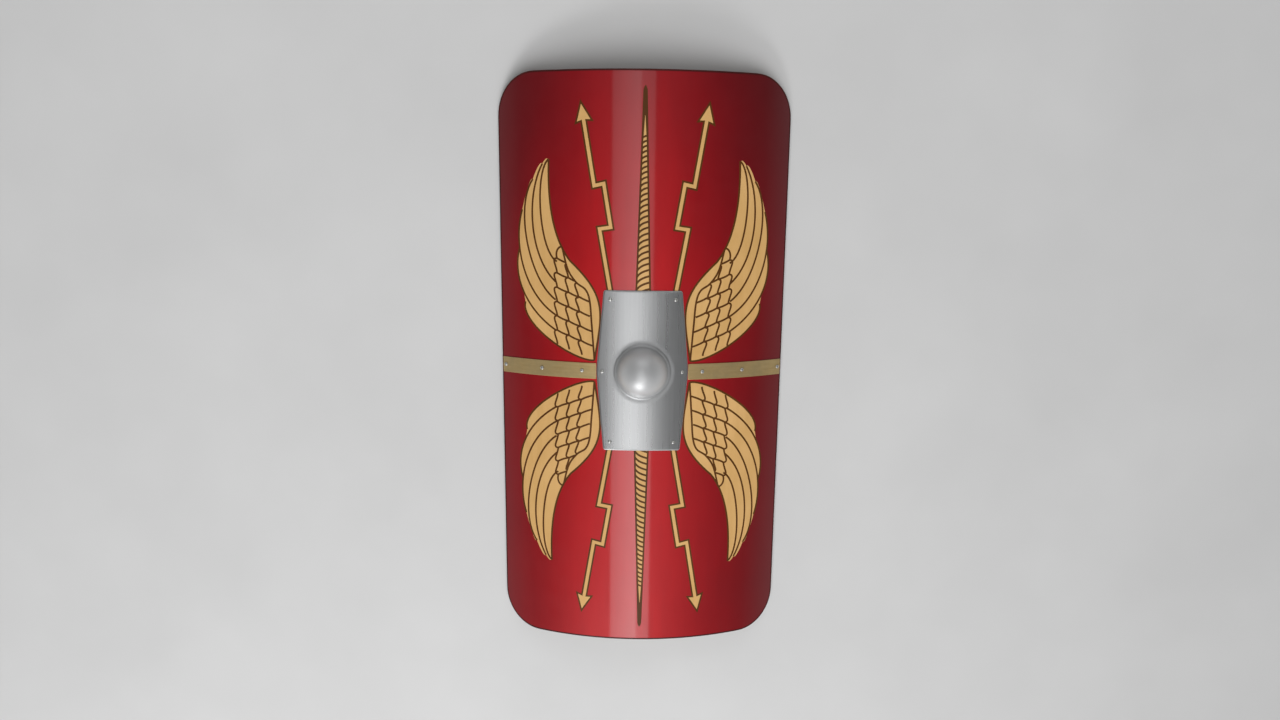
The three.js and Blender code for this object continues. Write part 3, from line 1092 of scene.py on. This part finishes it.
def is_dome_foot(loop):
    return abs(max(point.x for point in loop) - dome_foot) < 0.5


def dome_seat(across, along, up):
    drop = PLATE_FACE * (1 - math.cos(across / FACE_RADIUS))
    point = on_curve(across, along, PLATE_FACE)
    point.z += (up + drop * min(1, max(0, up / DOME_HEIGHT))) * MM
    return point


def raise_dome(skin, depth, way):
    *rings, crown = dome_profile(depth)[1:]
    rows = [[skin[corner] for corner in foot_rim]]
    for out, up in rings:
        rows.append([plate_sheet.add(dome_seat(at.x * out, at.y * out, up)) for at in foot_ways])
    tip = plate_sheet.add(dome_seat(0, 0, crown[1]))
    plate_sheet.band([row[::-way] for row in rows], EDGE)
    plate_sheet.fan(rows[-1][::-way], tip, EDGE)


dome_opening = circle(0, 0, dome_foot, DOME_SIDES)
plate_holes = [dome_opening, *holes_for(lambda name, across: name.startswith("plate"))]
plate_drawing = cut_drawing(plate_outline(PLATE_EASING[0]), plate_holes, [], BOARD_STEPS)
plate_sheet, plate_front, plate_back, open_rims = bend_sheet(
    plate_drawing, PLATE_FACE - PLATE_SHEET, PLATE_FACE, PLATE_EASING, is_dome_foot
)
foot_rim = open_rims[0]
foot_ways = [plate_drawing[0][corner].normalized() for corner in foot_rim]
raise_dome(plate_front, 0, 1)
raise_dome(plate_back, PLATE_SHEET, -1)
# All of the plate is one metal
plate_sheet.colours = [0] * len(plate_sheet.faces)
boss_plate = plate_sheet.build("steel_boss_plate", [boss_steel])
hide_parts("boss_plate")
print("boss plate faces:", len(boss_plate.data.polygons))

# %% [markdown]
# ## The bands
#
# The two brass bands run from the plate's waist to the long edges. They are plain strips cut from sheet,
# with their arrises eased by a file.

# %% Bend the bands
BAND_EASING = (0.7, 0.5, 0.3)
BAND_STEPS = (6, 15)


def make_band(side, way):
    inner, outer = sorted((way * BAND_INNER, way * BAND_OUTER))
    half = BAND_WIDTH / 2
    outline = [Vector(corner) for corner in ((inner, -half), (outer, -half), (outer, half), (inner, half))]
    holes = holes_for(lambda name, across: name.startswith("band") and across * way > 0)
    drawing = cut_drawing(grown(outline, -BAND_EASING[0]), holes, [], BAND_STEPS)
    sheet, *_ = bend_sheet(drawing, FACE_RADIUS + TOUCH_GAP, BAND_FACE, BAND_EASING)
    sheet.colours = [0] * len(sheet.faces)
    band = sheet.build(f"brass_band_{side}", [band_brass])
    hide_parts(f"band_{side}")
    return band


bands = [make_band("left", -1), make_band("right", 1)]
print("band faces:", [len(band.data.polygons) for band in bands])

# %% [markdown]
# ## The rivets
#
# Each rivet went in from the front and was hammered over behind, so it has a low round head, a shank and
# a smaller, flatter tail. It is turned like a pot: one half section swept round the rivet's own axis.

# %% Set the rivets
RIVET_SIDES = 32
CAP_STEPS = 7
CAP_FULLNESS = 0.8


def ring_on_pin(across, along, height, radius, sides):
    """A ring of points round a straight pin that stands out of the curve."""
    centre = on_curve(across, along, height)
    way = sideways(across)
    return [centre + (way * at.x + Vector((0, at.y, 0))) * MM for at in circle(0, 0, radius, sides)]


def cap(diameter, height, seat, way):
    """Half section of a rivet's head or tail, from its rim nearly to its tip."""
    turns = [math.pi / 2 * step / CAP_STEPS for step in range(CAP_STEPS)]
    return [
        (diameter / 2 * math.cos(turn) ** CAP_FULLNESS, seat + way * height * math.sin(turn))
        for turn in turns
    ]


def make_rivet(name, across, along, front, back):
    head_seat, tail_seat = front + TOUCH_GAP, back - TOUCH_GAP
    tail = cap(TAIL, TAIL_HEIGHT, tail_seat, -1)[::-1]
    head = cap(HEAD, HEAD_HEIGHT, head_seat, 1)
    section = [*tail, (SHANK / 2, tail_seat), (SHANK / 2, head_seat), *head]
    sheet = Sheet()
    rows = []
    for radius, height in section:
        ring = ring_on_pin(across, along, height, radius, RIVET_SIDES)
        rows.append([sheet.add(point) for point in ring])
    sheet.band(rows, 0)
    sheet.fan(rows[0][::-1], sheet.add(on_curve(across, along, tail_seat - TAIL_HEIGHT)), 0)
    sheet.fan(rows[-1], sheet.add(on_curve(across, along, head_seat + HEAD_HEIGHT)), 0)
    rivet = sheet.build(f"set_{name}", [rivet_steel])
    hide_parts(name)
    return rivet


set_rivets = [make_rivet(*rivet) for rivet in rivets]
print("rivets set:", len(set_rivets))

# %% [markdown]
# ## The grip
#
# Behind the board one wooden bar crosses the hand hole. The waist rivets and the band rivets run through
# it, so it also stiffens the board. Where the hand holds it, the bar swells forwards into the hole and
# turns round. It is made as a row of rounded sections along the curve.

# %% Carve the grip
GRIP_ARC = 430
GRIP_WIDTH = 30
GRIP_END_THICKNESS = 7
GRIP_TAPER = 26
GRIP_CORNER = 2.5
GRIP_STATION = 5
HANDLE_WIDTH = 27
HANDLE_THICKNESS = 21
HANDLE_HALF = 33
HANDLE_BLEND = 11
HANDLE_FLAT = 0.3


def grip_measures(arc):
    """Width, thickness and corner radius of the grip at an arc, and how far its back is cut away."""
    from_handle = min(1, max(0, (abs(arc) - HANDLE_HALF) / HANDLE_BLEND))
    held = 1 - from_handle**2 * (3 - 2 * from_handle)
    width = GRIP_WIDTH + (HANDLE_WIDTH - GRIP_WIDTH) * held
    thickness = GRIP_THICKNESS + (HANDLE_THICKNESS - GRIP_THICKNESS) * held
    corner = GRIP_CORNER + (HANDLE_THICKNESS / 2 - HANDLE_FLAT - GRIP_CORNER) * held
    cut = max(0, abs(arc) - (GRIP_ARC / 2 - GRIP_TAPER)) / GRIP_TAPER
    cut *= GRIP_THICKNESS - GRIP_END_THICKNESS
    return width, thickness - cut, corner, cut


def grip_section(arc):
    width, thickness, corner, cut = grip_measures(arc)
    section = rounded_board(width / 2, thickness / 2, corner, 5)
    middle = GRIP_BACK + cut + thickness / 2
    return [on_curve(arc, point.x, middle + point.y) for point in section]


grip_sheet = Sheet()
station_count = int(GRIP_ARC / GRIP_STATION) + 1
stations = [GRIP_STATION * step - GRIP_ARC / 2 for step in range(station_count)]
grip_rows = [[grip_sheet.add(point) for point in grip_section(arc)] for arc in stations]
grip_sheet.band(grip_rows, 0)
grip_sheet.faces += [grip_rows[0][::-1], grip_rows[-1]]
grip_sheet.colours += [0, 0]
grip = grip_sheet.build("wooden_grip", [grip_wood])
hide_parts("grip")
print("grip faces:", len(grip.data.polygons))

# %% [markdown]
# Six rivets run through the bar, so it gets their holes. A drill is the tool for that on a bench. Here the
# holes are round pins taken away from the bar.

# %% Drill the grip
DRILL_PAST = 4
DRILL_SIDES = 16


def drill_pins(places):
    pins = Sheet()
    radius = SHANK / 2 + HOLE_CLEARANCE
    for across, along in places:
        rows = []
        for height in (GRIP_BACK - DRILL_PAST, GRIP_FRONT + DRILL_PAST):
            ring = ring_on_pin(across, along, height, radius, DRILL_SIDES)
            rows.append([pins.add(point) for point in ring])
        pins.band(rows, 0)
        pins.faces += [rows[0][::-1], rows[1]]
    mesh = bpy.data.meshes.new("drill_pins")
    mesh.from_pydata(pins.points, [], pins.faces)
    pin_object = bpy.data.objects.new("drill_pins", mesh)
    bpy.context.scene.collection.objects.link(pin_object)
    return pin_object


pin_object = drill_pins([(across, along) for name, across, along, front, back in rivets if back == GRIP_BACK])
cutting = grip.modifiers.new("holes", "BOOLEAN")
cutting.object = pin_object
cutting.solver = "EXACT"
drilled = bpy.data.meshes.new_from_object(grip.evaluated_get(bpy.context.evaluated_depsgraph_get()))
drilled.set_sharp_from_angle(angle=SHARP_ANGLE)
grip.modifiers.clear()
grip.data = drilled
bpy.data.objects.remove(pin_object)
print("grip faces after drilling:", len(grip.data.polygons))

# %% [markdown]
# ## Floor and light
#
# The shield lies on a plain pale floor, wide enough that its end is far off. It only gives the shield a
# soft shadow and something pale to mirror, so it has no detail of its own.

# %% The floor
FLOOR_HALF = 40

floor_mesh = bpy.data.meshes.new("floor")
floor_corners = [(x * FLOOR_HALF, y * FLOOR_HALF, 0) for x, y in ((-1, -1), (1, -1), (1, 1), (-1, 1))]
floor_mesh.from_pydata(floor_corners, [], [(0, 1, 2, 3)])
floor = bpy.data.objects.new("floor", floor_mesh)
bpy.context.scene.collection.objects.link(floor)
floor_finish = Finish("pale_floor")
pale = ((0.3, (0.60, 0.60, 0.60)), (0.7, (0.64, 0.64, 0.64)))
floor_finish.colour(floor_finish.ramp(floor_finish.noise(3, 3), pale))
floor_finish.set(Roughness=0.8)
floor_mesh.materials.append(floor_finish.material)
print("floor:", FLOOR_HALF * 2, "m square")

# %% [markdown]
# The light is soft, as in a studio. A long lamp over the middle, and a weaker one beside it, give the
# bright streak along the face. A lamp beyond the foot gives the soft gloss that grows towards it, and a
# weaker one beyond the head lights the other end. Most of the light is even and comes from above, so the
# paint shows its own colours.

# %% The lamps
# Places and sizes are in metres and powers in watts
STREAK_ALONG = (-1.95, 0.9, 3, 1)


def hang_lamp(name, place, aim, size, power):
    data = bpy.data.lights.new(name, "AREA")
    data.shape = "RECTANGLE"
    data.size, data.size_y = size
    data.energy = power
    lamp = bpy.data.objects.new(name, data)
    lamp.location = place
    lamp.rotation_mode = "QUATERNION"
    lamp.rotation_quaternion = (Vector(aim) - Vector(place)).to_track_quat("-Z", "Y")
    bpy.context.scene.collection.objects.link(lamp)
    return lamp


def fade(lamp, across, along):
    """Lets a lamp's glow change evenly both ways. Each way has two places and the glow at them."""
    lamp.data.use_nodes = True
    nodes, links = lamp.data.node_tree.nodes, lamp.data.node_tree.links
    split = nodes.new("ShaderNodeSeparateXYZ")
    links.new(nodes.new("ShaderNodeNewGeometry").outputs["Position"], split.inputs["Vector"])
    product = nodes.new("ShaderNodeMath")
    product.operation = "MULTIPLY"
    for index, numbers in enumerate((across, along)):
        change = nodes.new("ShaderNodeMapRange")
        for name, number in zip(("From Min", "From Max", "To Min", "To Max"), numbers):
            change.inputs[name].default_value = number
        links.new(split.outputs[index], change.inputs["Value"])
        links.new(change.outputs["Result"], product.inputs[index])
    links.new(product.outputs[0], nodes["Emission"].inputs["Strength"])


streak_lamp = hang_lamp("streak_lamp", (-0.36, -0.52, 2.6), (-0.36, -0.52, 0), (0.62, 3.3), 7.5)
weak_streak_lamp = hang_lamp("weak_streak_lamp", (0.1, -0.52, 2.6), (0.1, -0.52, 0), (0.30, 3.3), 2.2)
fade(streak_lamp, (-0.67, -0.05, 0.5, 1.2), STREAK_ALONG)
fade(weak_streak_lamp, (-0.05, 0.25, 1, 0.9), STREAK_ALONG)
hang_lamp("foot_lamp", (-0.7, -2.95, 2.0), (0, -0.1, 0), (1.2, 0.8), 48)
hang_lamp("head_lamp", (0, 2.6, 2.2), (0, 0, 0.1), (3, 1.6), 18)

even_data = bpy.data.lights.new("even_light", "SUN")
even_data.angle = math.radians(50)
even_data.energy = 1.6
even_light = bpy.data.objects.new("even_light", even_data)
even_light.rotation_euler = (math.radians(34), math.radians(14), 0)
even_light.visible_glossy = False
bpy.context.scene.collection.objects.link(even_light)

# %% [markdown]
# What the gloss mirrors besides the lamps is the room. Its grey goes by height only: a pale one low
# down, like walls, and a dark one above, so that the lacquer stays deep.

# %% The room
ROOM_GREYS = ((0.08, 0.62), (0.55, 0.03))

world = bpy.data.worlds.new("studio")
bpy.context.scene.world = world
world.use_nodes = True
sky_nodes, sky_links = world.node_tree.nodes, world.node_tree.links
sky_split = sky_nodes.new("ShaderNodeSeparateXYZ")
sky_ramp = sky_nodes.new("ShaderNodeValToRGB")
sky_links.new(sky_nodes.new("ShaderNodeTexCoord").outputs["Generated"], sky_split.inputs["Vector"])
sky_links.new(sky_split.outputs["Z"], sky_ramp.inputs["Fac"])
sky_links.new(sky_ramp.outputs["Color"], sky_nodes["Background"].inputs["Color"])
for element, (height, grey) in zip(sky_ramp.color_ramp.elements, ROOM_GREYS):
    element.position = height
    element.color = (grey, grey, grey, 1)
bpy.context.scene.view_settings.view_transform = "Standard"
print("greys of the room by height:", ROOM_GREYS)

# %% [markdown]
